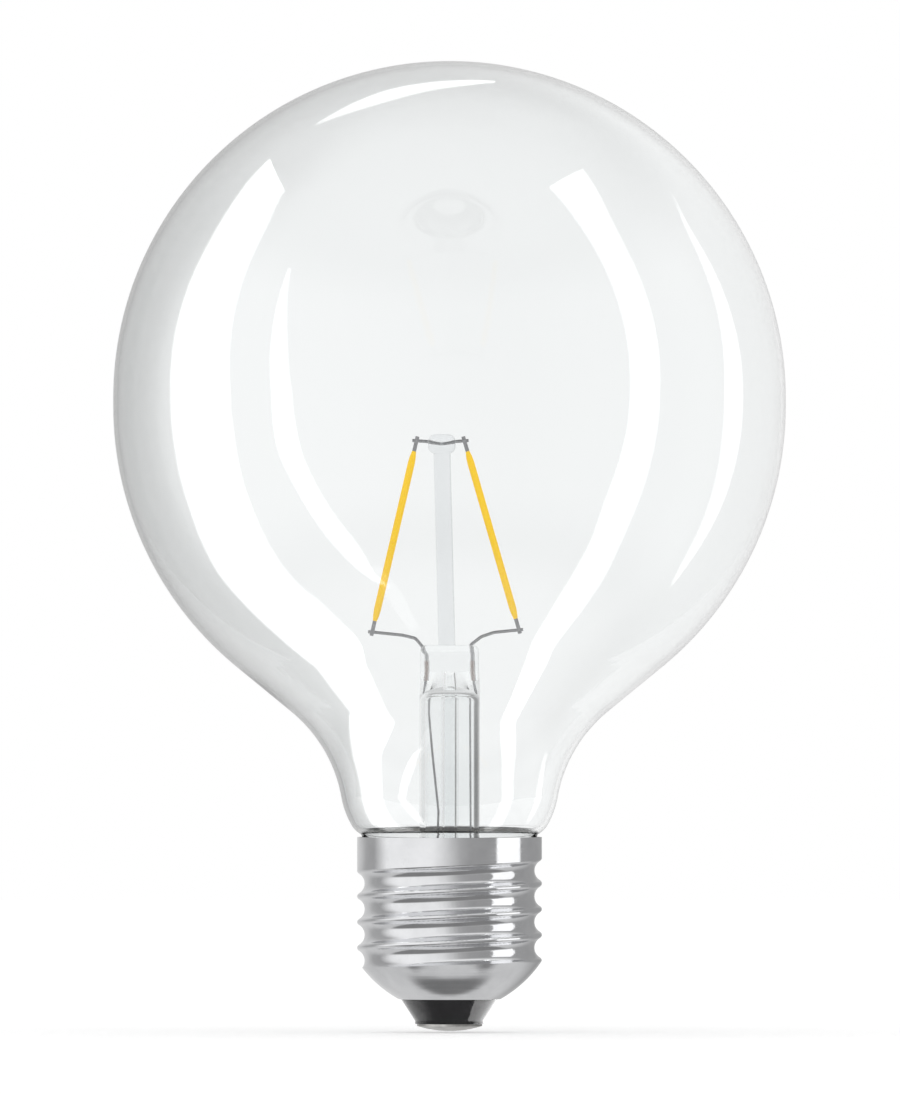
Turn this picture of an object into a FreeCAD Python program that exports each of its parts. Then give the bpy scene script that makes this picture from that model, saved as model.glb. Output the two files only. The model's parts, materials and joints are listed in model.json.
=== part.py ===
import FreeCAD
import Part

import math
import os

# Clear globe lamp with two LED filaments on a glass stem and a 27 mm screw cap.
# Millimetres. Origin: the outermost point of the centre contact, on the lamp's axis.
# +Z runs up the axis to the top of the globe. The filaments stand in the XZ plane and
# the front is -Y. Left and right are as seen from the front.

# Driving dimensions: glass envelope
GLOBE_DIAMETER = 95.0
GLOBE_STRAIGHT = 1.3            # short upright band at the widest part of the globe
GLASS_WALL = 0.65
NECK_LENGTH = 13.3              # from the cap's rim to the bottom of the whole globe
NECK_CURVE_SHARE = 0.9          # hollow curve's radius as a share of the largest that fits
NECK_HEADING = 10.0             # lean of the neck where that curve starts, degrees from +Z
NECK_SHOULDER_RADIUS = 12.0     # swelling of the neck above the cap
NECK_CORNER_RADIUS = 3.5
NECK_CORNER_HEADING = 30.0
NECK_ROOT_RADIUS = 0.8          # small hollow curve where the glass leaves the collar
NECK_ROOT_HEADING = 58.0
NECK_STEP_HEADING = 30.0        # slant of the step from the collar down to the seal

# Driving dimensions: screw cap
CAP_DIAMETER = 26.1             # over the thread crests and the collar
CAP_SHEET = 0.3
COLLAR_TALL = 4.75              # from the thread's last full valley to the rim
THREADS_PER_INCH = 7.0
THREAD_DEPTH = 1.05
THREAD_CREST_RADIUS = 0.6       # outer rounding of a crest
THREAD_CREST_LAND = 0.2         # narrow flat on top of each crest
THREAD_CREST_SLOPE = 20.0       # slope at the edge of that flat, degrees
THREAD_OVERRUN = 0.08           # how far the groove's section runs on past that edge
THREAD_TURNS = 3.5
THREAD_RUNOUT_TURNS = 0.4
THREAD_RUNOUT_LIFT = 0.15       # how far a run-out ends clear of the metal
FIRST_VALLEY_HEIGHT = 9.95      # lowest full valley, on the left side
SHOULDER_HEIGHT = 9.9
SHOULDER_CURVE_RADIUS = 17.0
SHOULDER_EDGE_RADIUS = 0.7
SHELL_HOLE_RADIUS = 7.2
SHELL_HOLE_HEIGHT = 4.5

# Driving dimensions: insulator and centre contact
INSULATOR_TOP_HEIGHT = 7.6
NOSE_RADIUS = 4.9
NOSE_STEP_HEIGHT = 1.45
CONTACT_RADIUS = 4.6
CONTACT_DOME = 0.7
CONTACT_RIM = 0.3
CONTACT_SHANK_RADIUS = 1.1
CONTACT_RIVET_RADIUS = 1.7
CONTACT_RIVET_HEIGHT = 0.5
CONTACT_SOCKET_DEPTH = 1.6

# Driving dimensions: how the neck sits in the cap
NECK_CLEARANCE = 0.45           # glass to collar wall
SEAL_CLEARANCE = 0.4            # glass to the thread's inner valley
NECK_ROOT_DROP = 0.2            # the glass starts to widen this far below the rim
NECK_COLLAR_LENGTH = 0.8
SEAL_OVER_BOARD = 1.2           # the glass ends this far above the driver's board
CEMENT_BELOW_RIM = 0.7
CEMENT_TALL = 1.8

# Driving dimensions: stem
STEM_DIAMETER = 8.5
STEM_WALL = 0.8
STEM_AIR_RISE = 0.3             # the hollow ends this far above the start of the pinch
STEM_AIR_END_ROUNDING = 1.0
PINCH_START_HEIGHT = 47.6
PINCH_TAPER_LENGTH = 3.4
PINCH_BLADE_LENGTH = 3.5
PINCH_WIDTH = 8.3
PINCH_THICKNESS = 3.8
PINCH_ROUNDING = 0.9
EXHAUST_DIAMETER = 2.5
EXHAUST_BORE = 1.5
EXHAUST_TIP_RISE = 1.8          # the melted tip ends this far above the seal
EXHAUST_HOLE_RISE = 0.2         # the side hole lies this far above the start of the blade
POST_DIAMETER = 2.4
POST_FOOT_X = -0.38
BUTTON_X = -1.1
BUTTON_RISE = 28.4              # middle of the button over the pinch
BUTTON_WIDTH = 3.9
BUTTON_TALL = 2.8
BUTTON_ROUNDING = 1.1

# Driving dimensions: filaments, by the crossings where their tabs are welded
LEFT_TOP_CROSSING = (-4.65, 28.9)       # X, height over the pinch
LEFT_LOW_CROSSING = (-10.9, 1.9)
RIGHT_TOP_CROSSING = (2.1, 28.9)
RIGHT_LOW_CROSSING = (9.8, 2.2)
FILAMENT_LENGTH = 24.6
FILAMENT_DIAMETER = 1.0
FILAMENT_TIP_DIAMETER = 0.56
FILAMENT_TAPER = 1.7
FILAMENT_SWELL = 0.7            # share of the widening that is reached halfway along a taper
TAB_WIDTH = 0.55
TAB_THICKNESS = 0.25
TAB_OVERHANG = 0.6

# Driving dimensions: wires
LEAD_DIAMETER = 0.45
LEAD_OVERHANG = 0.6
LEAD_BEND = 0.9
LARGEST_BEND_SHARE = 0.45       # of the shorter run beside a corner
LEFT_LEAD_ROUTE = [(-6.6, 1.4), (-4.8, 0.95), (-3.75, -0.3)]    # X, height over the pinch
RIGHT_LEAD_ROUTE = [(6.3, 1.8), (4.5, 1.2), (2.8, -0.1)]
BRIDGE_DIP = 0.35               # the bridge wire sinks towards the button's middle
WELD_SINK = 0.06                # how far a tab is pressed into the wire behind it
SEAL_WIRE_DIAMETER = 0.55
SEAL_WIRE_LENGTH = 2.7
SEAL_WIRE_DEPTH = 2.2           # its top end below the top of the pinch
SEAL_WIRE_X = 2.95
OUTER_LEAD_DIAMETER = 0.3
OUTER_LEAD_BEND = 1.5
OUTER_LEAD_STRAIGHT = 4.1       # upright run below the seal wire
LEFT_OUTER_ROUTE = [(-2.3, 39.0, -1.4), (-1.5, 31.0, -2.1), (-1.8, 22.0, -1.6)]    # X, Z, Y
RIGHT_OUTER_ROUTE = [(3.05, 26.0, 0.2)]
OUTER_LEAD_HOLES_X = (-2.4, 2.9)
OUTER_LEAD_HOLE_FRONT = 2.5     # the wires turn towards the board this far before it

# Driving dimensions: driver inside the cap
BOARD_WIDTH = 17.0
BOARD_TALL = 9.4
BOARD_THICKNESS = 1.0
BOARD_FRONT_Y = 1.9
LEAD_HOLE_BELOW_EDGE = 1.2
CAPACITOR_DIAMETER = 6.3
CAPACITOR_LENGTH = 9.0
CAPACITOR_EDGE = 0.4
CAPACITOR_GROOVE = 0.35
CAPACITOR_GROOVE_PLACE = 0.82   # share of the length
CAPACITOR_WIRE_SPACING = 2.5
CAPACITOR_WIRE_REACH = 0.9
RESISTOR_DIAMETER = 2.3
RESISTOR_LENGTH = 5.6
RESISTOR_ROUNDING = 0.38
RESISTOR_RISE = 2.4             # its body over the insulator
RESISTOR_WIRE_DIAMETER = 0.5
RESISTOR_LOW_RUN = 1.1          # straight wire under the body
RESISTOR_HIGH_RUN = 0.6
CONTACT_WIRE_RUN = 0.9          # straight wire over the contact's socket
RESISTOR_X = -4.4
CHIP_SIZE = (4.9, 1.5, 3.9)     # along X, Y and Z
CHIP_X = 4.6
CHIP_LEG_COUNT = 4              # on each side
RECTIFIER_SIZE = (4.7, 2.4, 3.9)
RECTIFIER_X = -0.4
RECTIFIER_LEG_COUNT = 2
CHIP_CHAMFER_SHARE = 1 / 6      # of the body's depth
LEG_WIDTH = 0.4
LEG_REACH = 1.0
LEG_SHOULDER = 0.4              # level run where a leg leaves the body
LEG_THICKNESS = 0.2
LEG_END_MARGIN = 0.25           # from the outer legs to the body's ends, in leg spacings
SHELL_LEAD_X = 7.7
SHELL_LEAD_DIAMETER = 0.4
SHELL_LEAD_BEND = 0.6
SHELL_LEAD_FRONT = 1.5          # the wire turns outwards this far before the board

# Sizes that follow from the ones above
PITCH = 25.4 / THREADS_PER_INCH
CAP_RADIUS = CAP_DIAMETER / 2
CAP_RIM_HEIGHT = FIRST_VALLEY_HEIGHT + THREAD_TURNS * PITCH + COLLAR_TALL
CAP_INNER_RADIUS = CAP_RADIUS - CAP_SHEET
GLOBE_RADIUS = GLOBE_DIAMETER / 2
LOWER_GLOBE_CENTRE = CAP_RIM_HEIGHT + NECK_LENGTH + GLOBE_RADIUS
MOUTH_RADIUS = CAP_INNER_RADIUS - NECK_CLEARANCE
SEAL_RADIUS = CAP_INNER_RADIUS - THREAD_DEPTH - SEAL_CLEARANCE
STEM_RADIUS = STEM_DIAMETER / 2
BOARD_TOP = INSULATOR_TOP_HEIGHT + BOARD_TALL
BOARD_BACK_Y = BOARD_FRONT_Y + BOARD_THICKNESS
SEAL_HEIGHT = BOARD_TOP + SEAL_OVER_BOARD
CEMENT_HIGH = CAP_RIM_HEIGHT - CEMENT_BELOW_RIM
CEMENT_LOW = CEMENT_HIGH - CEMENT_TALL
PINCH_FLAT_HEIGHT = PINCH_START_HEIGHT + PINCH_TAPER_LENGTH
PINCH_TOP_HEIGHT = PINCH_FLAT_HEIGHT + PINCH_BLADE_LENGTH
STEM_AIR_END_HEIGHT = PINCH_START_HEIGHT + STEM_AIR_RISE
BUTTON_CENTRE = (BUTTON_X, PINCH_TOP_HEIGHT + BUTTON_RISE)
CONTACT_SEAT_HEIGHT = CONTACT_DOME + CONTACT_RIM
WIRE_Y = TAB_THICKNESS / 2 + LEAD_DIAMETER / 2 - WELD_SINK
SEAL_WIRE_TOP_HEIGHT = PINCH_TOP_HEIGHT - SEAL_WIRE_DEPTH
SEAL_WIRE_FOOT_HEIGHT = SEAL_WIRE_TOP_HEIGHT - SEAL_WIRE_LENGTH
RIVET_TOP = INSULATOR_TOP_HEIGHT + CONTACT_RIVET_HEIGHT
ON_PLANE = 1e-3                 # an edge this close to a plane lies in it
UP = FreeCAD.Vector(0, 0, 1)
AXIS_POINT = FreeCAD.Vector(0, 0, 0)


def at(x, z, y=0.0):
    return FreeCAD.Vector(x, y, z)


def line(start, end):
    return Part.LineSegment(at(*start), at(*end)).toShape()


def arc(start, middle, end):
    return Part.Arc(at(*start), at(*middle), at(*end)).toShape()


def chain(points):
    return [line(a, b) for a, b in zip(points, points[1:])]


def revolve(edges, centre_x=0.0):
    """Solid of revolution of a closed outline in the XZ plane."""
    face = Part.Face(Part.Wire(Part.__sortEdges__(edges)))
    return face.revolve(at(centre_x, 0.0), UP, 360)


def walk(start, heading, steps, inset=0.0):
    """Edges of a smooth outline in the XZ plane, and the point where it ends.

    The heading is in degrees from +Z towards +X. A step is ("line", length) or
    ("arc", radius, heading at its end). The inset moves the whole outline to the
    left of its way, so that two outlines make a wall of even thickness.
    """
    def right_of(angle):
        return math.cos(math.radians(angle)), -math.sin(math.radians(angle))

    side = right_of(heading)
    x = start[0] - inset * side[0]
    z = start[1] - inset * side[1]
    edges = []
    for step in steps:
        if step[0] == "line":
            end_x = x - step[1] * side[1]
            end_z = z + step[1] * side[0]
            edges.append(line((x, z), (end_x, end_z)))
        else:
            turn = 1.0 if step[2] > heading else -1.0
            reach = turn * (step[1] + turn * inset)
            centre = (x + reach * side[0], z + reach * side[1])
            half = right_of((heading + step[2]) / 2)
            side = right_of(step[2])
            heading = step[2]
            end_x = centre[0] - reach * side[0]
            end_z = centre[1] - reach * side[1]
            middle = (centre[0] - reach * half[0], centre[1] - reach * half[1])
            edges.append(arc((x, z), middle, (end_x, end_z)))
        x, z = end_x, end_z
    return edges, (x, z)


def envelope_steps():
    """Outline of the glass from the seal, through the neck, to the top of the globe."""
    widening = MOUTH_RADIUS - SEAL_RADIUS
    step_radius = widening / 2 / (1 - math.cos(math.radians(NECK_STEP_HEADING)))
    step_height = 2 * step_radius * math.sin(math.radians(NECK_STEP_HEADING))
    root_height = CAP_RIM_HEIGHT - NECK_ROOT_DROP
    stub = root_height - NECK_COLLAR_LENGTH - step_height - SEAL_HEIGHT
    steps = [
        ("line", stub),
        ("arc", step_radius, NECK_STEP_HEADING),
        ("arc", step_radius, 0.0),
        ("line", NECK_COLLAR_LENGTH),
        ("arc", NECK_ROOT_RADIUS, NECK_ROOT_HEADING),
        ("arc", NECK_CORNER_RADIUS, NECK_CORNER_HEADING),
        ("arc", NECK_SHOULDER_RADIUS, NECK_HEADING),
    ]
    _, (x, z) = walk((SEAL_RADIUS, SEAL_HEIGHT), 0.0, steps)
    # The largest curve that fits touches the globe. The smaller one used and the globe
    # share a straight line that is tangent to both.
    lean = math.radians(NECK_HEADING)
    below = z - LOWER_GLOBE_CENTRE
    across = x * math.cos(lean) - below * math.sin(lean)
    largest = (x**2 + below**2 - GLOBE_RADIUS**2) / (2 * (GLOBE_RADIUS - across))
    curve_radius = NECK_CURVE_SHARE * largest
    to_globe_x = -(x + curve_radius * math.cos(lean))
    to_globe_z = -below + curve_radius * math.sin(lean)
    radii = GLOBE_RADIUS + curve_radius
    distance = math.hypot(to_globe_x, to_globe_z)
    bearing = math.atan2(to_globe_z, to_globe_x) + math.acos(radii / distance)
    return steps + [
        ("arc", curve_radius, 180.0 - math.degrees(bearing)),
        ("line", math.sqrt(distance**2 - radii**2)),
        ("arc", GLOBE_RADIUS, 0.0),
        ("line", GLOBE_STRAIGHT),
        ("arc", GLOBE_RADIUS, -90.0),
    ]


def glass_envelope():
    steps = envelope_steps()
    seal = (SEAL_RADIUS, SEAL_HEIGHT)
    outer, outer_top = walk(seal, 0.0, steps)
    inner, inner_top = walk(seal, 0.0, steps, GLASS_WALL)
    lip_middle = (SEAL_RADIUS - GLASS_WALL / 2, SEAL_HEIGHT - GLASS_WALL / 2)
    lip = arc(seal, lip_middle, (SEAL_RADIUS - GLASS_WALL, SEAL_HEIGHT))
    return revolve(outer + [line(outer_top, inner_top)] + inner + [lip])


def neck_core():
    """Everything inside the outer surface of the glass neck, for trimming the cement."""
    outer, top = walk((SEAL_RADIUS, SEAL_HEIGHT), 0.0, envelope_steps()[:4])
    sides = chain([top, (0.0, top[1]), (0.0, SEAL_HEIGHT), (SEAL_RADIUS, SEAL_HEIGHT)])
    return revolve(outer + sides)


def groove_section(blank_radius, crest_radius):
    """One valley of the round thread between two half crests, in the XZ plane."""
    slope = math.radians(THREAD_CREST_SLOPE)
    crest_x = blank_radius - crest_radius * math.cos(slope)
    crest_z = (PITCH - THREAD_CREST_LAND) / 2 + crest_radius * math.sin(slope)
    rise = crest_x - (blank_radius - THREAD_DEPTH)
    valley_radius = (rise**2 + crest_z**2 - crest_radius**2) / (2 * (rise + crest_radius))
    valley_x = blank_radius - THREAD_DEPTH + valley_radius
    # The crest's arc runs from its edge to the point where it meets the valley's arc.
    meet = math.atan2(-crest_z, valley_x - crest_x)
    angles = (-slope, (meet - slope) / 2, meet)
    crest = [(crest_x + crest_radius * math.cos(a), crest_z + crest_radius * math.sin(a))
             for a in angles]
    mirrored = [(x, -z) for x, z in crest]
    outside = blank_radius + THREAD_DEPTH
    edge_x = crest[0][0] + THREAD_OVERRUN * math.sin(slope)
    edge_z = crest[0][1] + THREAD_OVERRUN * math.cos(slope)
    edges = [arc(*crest), arc(crest[2], (blank_radius - THREAD_DEPTH, 0.0), mirrored[2]),
             arc(*reversed(mirrored))]
    edges += chain([mirrored[0], (edge_x, -edge_z), (outside, -edge_z), (outside, edge_z),
                    (edge_x, edge_z), crest[0]])
    return Part.Wire(edges)


def helix(radius, turns, lift=0.0):
    """Right-handed helix from the +X side upwards that widens by lift along its way."""
    height = turns * PITCH
    cone = math.degrees(math.atan2(lift, height))
    return Part.makeLongHelix(PITCH, height, radius, cone)


def groove(blank_radius, crest_radius):
    """The whole helical groove: full turns, and a run-out at each end that lifts clear."""
    lift = THREAD_DEPTH + THREAD_RUNOUT_LIFT
    full = helix(blank_radius, THREAD_TURNS)
    above = helix(blank_radius, THREAD_RUNOUT_TURNS, lift)
    above.rotate(AXIS_POINT, UP, 360.0 * THREAD_TURNS)
    above.translate(at(0.0, THREAD_TURNS * PITCH))
    below = helix(blank_radius, THREAD_RUNOUT_TURNS, lift)
    below.rotate(AXIS_POINT, FreeCAD.Vector(1, 0, 0), 180)
    spine = Part.Wire(Part.__sortEdges__(below.Edges + full.Edges + above.Edges))
    start = spine.OrderedVertexes[0].Point
    section = groove_section(blank_radius, crest_radius)
    section.translate(at(math.hypot(start.x, start.y) - blank_radius, start.z))
    section.rotate(AXIS_POINT, UP, math.degrees(math.atan2(start.y, start.x)))
    sweep = Part.BRepOffsetAPI.MakePipeShell(spine)
    sweep.setBiNormalMode(UP)
    sweep.add(section, False, False)
    sweep.build()
    sweep.makeSolid()
    cutter = sweep.shape()
    # The lowest full valley starts on the left side.
    cutter.rotate(AXIS_POINT, UP, 180.0)
    cutter.translate(at(0.0, FIRST_VALLEY_HEIGHT))
    return cutter


def shoulder_points(inset):
    """Ends and middle of the shoulder's curve, moved inwards by inset."""
    start = (CAP_RADIUS, SHOULDER_HEIGHT)
    end = (SHELL_HOLE_RADIUS, SHELL_HOLE_HEIGHT)
    chord = math.dist(start, end)
    along = ((end[0] - start[0]) / chord, (end[1] - start[1]) / chord)
    middle = ((start[0] + end[0]) / 2, (start[1] + end[1]) / 2)
    back = math.sqrt(SHOULDER_CURVE_RADIUS**2 - (chord / 2)**2)
    centre = (middle[0] + back * along[1], middle[1] - back * along[0])
    radius = SHOULDER_CURVE_RADIUS - inset
    wall_x = CAP_RADIUS - inset
    wall_z = centre[1] - math.sqrt(radius**2 - (wall_x - centre[0])**2)
    hole_angle = math.atan2(end[1] - centre[1], end[0] - centre[0])
    wall_angle = math.atan2(wall_z - centre[1], wall_x - centre[0])
    half_angle = (hole_angle + wall_angle) / 2
    on_curve = [(centre[0] + radius * math.cos(a), centre[1] + radius * math.sin(a))
                for a in (wall_angle, half_angle, hole_angle)]
    return on_curve, centre, radius


def cap_blank(inset, top, edge_radius):
    """Unthreaded body of the cap: wall, rounded edge and curved shoulder."""
    (wall, middle, hole), _, _ = shoulder_points(inset)
    outline = chain([(0.0, top), (CAP_RADIUS - inset, top), wall])
    outline.append(arc(wall, middle, hole))
    outline += chain([hole, (0.0, hole[1]), (0.0, top)])
    body = revolve(outline)
    edge = [e for e in body.Edges if abs(e.BoundBox.ZMin - wall[1]) < ON_PLANE
            and e.BoundBox.ZLength < ON_PLANE and e.BoundBox.XMax > CAP_RADIUS - inset - ON_PLANE]
    return body.makeFillet(edge_radius, edge)


def cap_inside():
    """Threaded space inside the shell, open upwards."""
    blank = cap_blank(CAP_SHEET, CAP_RIM_HEIGHT, SHOULDER_EDGE_RADIUS - CAP_SHEET)
    return blank.cut(groove(CAP_INNER_RADIUS, THREAD_CREST_RADIUS - CAP_SHEET))


def screw_shell(inside):
    blank = cap_blank(0.0, CAP_RIM_HEIGHT, SHOULDER_EDGE_RADIUS)
    outside = blank.cut(groove(CAP_RADIUS, THREAD_CREST_RADIUS))
    hole_out = shoulder_points(0.0)[0][2]
    hole_in = shoulder_points(CAP_SHEET)[0][2]
    # The hole's edge is square to the sheet.
    away = (2 * hole_out[0] - hole_in[0], 2 * hole_out[1] - hole_in[1])
    hole = revolve(chain([(0.0, hole_in[1]), hole_in, away, (0.0, away[1]),
                          (0.0, hole_in[1])]))
    return outside.cut(inside).cut(hole)


def base_insulator():
    """Black glass: fills the shoulder from inside and stands out as a blunt cone."""
    _, centre, radius = shoulder_points(CAP_SHEET)
    hole_in = shoulder_points(CAP_SHEET)[0][2]
    top_x = centre[0] + math.sqrt(radius**2 - (centre[1] - INSULATOR_TOP_HEIGHT)**2)
    top = (top_x, INSULATOR_TOP_HEIGHT)
    angles = [math.atan2(p[1] - centre[1], p[0] - centre[0]) for p in (top, hole_in)]
    half = sum(angles) / 2
    middle = (centre[0] + radius * math.cos(half), centre[1] + radius * math.sin(half))
    bore = CONTACT_SHANK_RADIUS
    outline = [arc(top, middle, hole_in)]
    outline += chain([hole_in, (NOSE_RADIUS, NOSE_STEP_HEIGHT),
                      (NOSE_RADIUS, CONTACT_SEAT_HEIGHT), (bore, CONTACT_SEAT_HEIGHT),
                      (bore, INSULATOR_TOP_HEIGHT), top])
    return revolve(outline)


def center_contact():
    """Domed head, shank through the insulator, and the spread end that holds it."""
    dome_radius = (CONTACT_RADIUS**2 + CONTACT_DOME**2) / (2 * CONTACT_DOME)
    half_x = CONTACT_RADIUS / 2
    half_z = dome_radius - math.sqrt(dome_radius**2 - half_x**2)
    socket = RESISTOR_WIRE_DIAMETER / 2
    outline = [arc((0.0, 0.0), (half_x, half_z), (CONTACT_RADIUS, CONTACT_DOME))]
    outline += chain([(CONTACT_RADIUS, CONTACT_DOME), (CONTACT_RADIUS, CONTACT_SEAT_HEIGHT),
                      (CONTACT_SHANK_RADIUS, CONTACT_SEAT_HEIGHT),
                      (CONTACT_SHANK_RADIUS, INSULATOR_TOP_HEIGHT),
                      (CONTACT_RIVET_RADIUS, INSULATOR_TOP_HEIGHT),
                      (CONTACT_SHANK_RADIUS, RIVET_TOP), (socket, RIVET_TOP),
                      (socket, RIVET_TOP - CONTACT_SOCKET_DEPTH),
                      (0.0, RIVET_TOP - CONTACT_SOCKET_DEPTH), (0.0, 0.0)])
    return revolve(outline)


def basing_cement():
    inner = SEAL_RADIUS - GLASS_WALL
    ring = revolve(chain([(inner, CEMENT_LOW), (CAP_INNER_RADIUS, CEMENT_LOW),
                          (CAP_INNER_RADIUS, CEMENT_HIGH), (inner, CEMENT_HIGH),
                          (inner, CEMENT_LOW)]))
    return ring.cut(neck_core())


def stem_tube():
    """Flared tube whose top is pinched flat round the wires."""
    flare_radius = SEAL_RADIUS - GLASS_WALL - STEM_RADIUS
    rim = (SEAL_RADIUS - GLASS_WALL, SEAL_HEIGHT + STEM_WALL)
    straight = PINCH_START_HEIGHT - rim[1] - flare_radius
    steps = [("arc", flare_radius, 0.0), ("line", straight)]
    outer, outer_top = walk(rim, -90.0, steps)
    bore_rise = STEM_AIR_END_HEIGHT - STEM_AIR_END_ROUNDING - PINCH_START_HEIGHT
    inner_steps = [("arc", flare_radius, 0.0), ("line", straight + bore_rise),
                   ("arc", STEM_AIR_END_ROUNDING + STEM_WALL, -90.0)]
    inner, inner_top = walk(rim, -90.0, inner_steps, STEM_WALL)
    outside = revolve(outer + chain([outer_top, (0.0, outer_top[1]), (0.0, SEAL_HEIGHT),
                                     (rim[0], SEAL_HEIGHT), rim]))
    bore = revolve(inner + chain([inner_top, (0.0, inner_top[1]),
                                  (0.0, SEAL_HEIGHT), (rim[0], SEAL_HEIGHT)]))
    stem = outside.fuse(pinch()).removeSplitter().cut(bore)
    vent = EXHAUST_BORE / 2
    hole_height = PINCH_FLAT_HEIGHT + EXHAUST_HOLE_RISE
    rise = Part.makeCylinder(vent, hole_height - PINCH_START_HEIGHT,
                             at(0.0, PINCH_START_HEIGHT))
    way_out = Part.makeCylinder(vent, PINCH_THICKNESS, at(0.0, hole_height),
                                FreeCAD.Vector(0, -1, 0))
    return stem.cut(rise.fuse(way_out))


def pinch():
    """Glass pressed from the round tube to a flat blade with rounded ends."""
    half_y = PINCH_THICKNESS / 2
    corner_x = PINCH_WIDTH / 2 - half_y
    blade_z = PINCH_FLAT_HEIGHT
    corners = [at(corner_x, blade_z, -half_y), at(corner_x, blade_z, half_y),
               at(-corner_x, blade_z, half_y), at(-corner_x, blade_z, -half_y)]
    tips = [at(PINCH_WIDTH / 2, blade_z), at(-PINCH_WIDTH / 2, blade_z)]
    blade = Part.Wire([Part.Arc(corners[0], tips[0], corners[1]).toShape(),
                       Part.LineSegment(corners[1], corners[2]).toShape(),
                       Part.Arc(corners[2], tips[1], corners[3]).toShape(),
                       Part.LineSegment(corners[3], corners[0]).toShape()])
    split = math.atan2(half_y, corner_x)
    turns = [-split, 0.0, split, math.pi / 2, math.pi - split, math.pi, math.pi + split,
             1.5 * math.pi, -split]
    ring = [at(STEM_RADIUS * math.cos(a), PINCH_START_HEIGHT, STEM_RADIUS * math.sin(a))
            for a in turns]
    tube = Part.Wire([Part.Arc(*ring[i:i + 3]).toShape() for i in (0, 2, 4, 6)])
    taper = Part.makeLoft([tube, blade], True, True)
    block = Part.Face(blade).extrude(at(0.0, PINCH_TOP_HEIGHT - blade_z))
    rim = [e for e in block.Edges if e.BoundBox.ZMin > PINCH_TOP_HEIGHT - ON_PLANE]
    return taper.fuse(block.makeFillet(PINCH_ROUNDING, rim)).removeSplitter()


def exhaust_tube():
    """Thin tube from the pinch down to its melted tip."""
    outer = EXHAUST_DIAMETER / 2
    inner = EXHAUST_BORE / 2
    wall = outer - inner
    tip = SEAL_HEIGHT + EXHAUST_TIP_RISE
    slant = math.sqrt(0.5)
    outline = [arc((0.0, tip), (outer * slant, tip + outer * (1 - slant)),
                   (outer, tip + outer)),
               arc((0.0, tip + wall), (inner * slant, tip + wall + inner * (1 - slant)),
                   (inner, tip + wall + inner))]
    outline += chain([(outer, tip + outer), (outer, STEM_AIR_END_HEIGHT),
                      (inner, STEM_AIR_END_HEIGHT), (inner, tip + wall + inner)])
    outline.append(line((0.0, tip), (0.0, tip + wall)))
    return revolve(outline)


def stem_post(pinch_solid):
    """Leaning glass rod and the button melted on its top."""
    foot = at(POST_FOOT_X, PINCH_TOP_HEIGHT)
    top = at(*BUTTON_CENTRE)
    lean = (top - foot).normalize()
    sunk_foot = foot - lean * POST_DIAMETER
    rod = Part.makeCylinder(POST_DIAMETER / 2, (top - sunk_foot).Length, sunk_foot, lean)
    half = BUTTON_WIDTH / 2
    x, z = BUTTON_CENTRE
    disc = Part.makeCylinder(half, BUTTON_TALL, at(x, z - BUTTON_TALL / 2))
    rims = [e for e in disc.Edges if e.BoundBox.ZLength < ON_PLANE]
    button = disc.makeFillet(BUTTON_ROUNDING, rims)
    return rod.cut(pinch_solid).fuse(button).removeSplitter()


def over_pinch(x, rise, y=0.0):
    return at(x, PINCH_TOP_HEIGHT + rise, y)


def filament_frame(top, low):
    """Placement whose local -Z runs from the upper crossing to the lower one."""
    down = over_pinch(*low) - over_pinch(*top)
    turn = FreeCAD.Rotation(FreeCAD.Vector(0, 0, -1), down)
    return FreeCAD.Placement(over_pinch(*top), turn), down.Length


def filament(top, low):
    """Yellow silicone body with slightly narrower rounded ends."""
    place, span = filament_frame(top, low)
    start = -(span - FILAMENT_LENGTH) / 2
    end = start - FILAMENT_LENGTH
    tip = FILAMENT_TIP_DIAMETER / 2
    full = FILAMENT_DIAMETER / 2
    swell = tip + (full - tip) * FILAMENT_SWELL
    outline = [line((0.0, start), (tip, start)),
               arc((tip, start), (swell, start - FILAMENT_TAPER / 2),
                   (full, start - FILAMENT_TAPER)),
               line((full, start - FILAMENT_TAPER), (full, end + FILAMENT_TAPER)),
               arc((full, end + FILAMENT_TAPER), (swell, end + FILAMENT_TAPER / 2),
                   (tip, end)),
               line((tip, end), (0.0, end)), line((0.0, end), (0.0, start))]
    body = revolve(outline)
    body.Placement = place
    return body


def tab(top, low, upper):
    """Flat metal tab from the filament's end to just past the wire it is welded to."""
    place, span = filament_frame(top, low)
    reach = (span - FILAMENT_LENGTH) / 2
    low_z = -reach if upper else -span - TAB_OVERHANG
    strip = Part.makeBox(TAB_WIDTH, TAB_THICKNESS, reach + TAB_OVERHANG,
                         at(-TAB_WIDTH / 2, low_z, -TAB_THICKNESS / 2))
    strip.Placement = place
    return strip


def bent_wire(points, diameter, bend):
    """Round wire along straight runs joined by tangent arcs."""
    edges = []
    last = points[0]
    for before, corner, after in zip(points, points[1:], points[2:]):
        back = (before - corner).normalize()
        ahead = (after - corner).normalize()
        half_turn = (math.pi - back.getAngle(ahead)) / 2
        shorter = min((before - corner).Length, (after - corner).Length)
        cut = min(bend * math.tan(half_turn), LARGEST_BEND_SHARE * shorter)
        radius = cut / math.tan(half_turn)
        start = corner + back * cut
        end = corner + ahead * cut
        to_centre = (back + ahead).normalize()
        depth = radius / math.cos(half_turn) - radius
        edges.append(Part.LineSegment(last, start).toShape())
        edges.append(Part.Arc(start, corner + to_centre * depth, end).toShape())
        last = end
    edges.append(Part.LineSegment(last, points[-1]).toShape())
    heading = (points[1] - points[0]).normalize()
    section = Part.Wire(Part.Circle(points[0], heading, diameter / 2).toShape())
    return Part.Wire(edges).makePipeShell([section], True, False)


def beyond(crossing, side):
    """End of a wire, past its crossing with a tab."""
    return over_pinch(crossing[0] + side * LEAD_OVERHANG, crossing[1], WIRE_Y)


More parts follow.
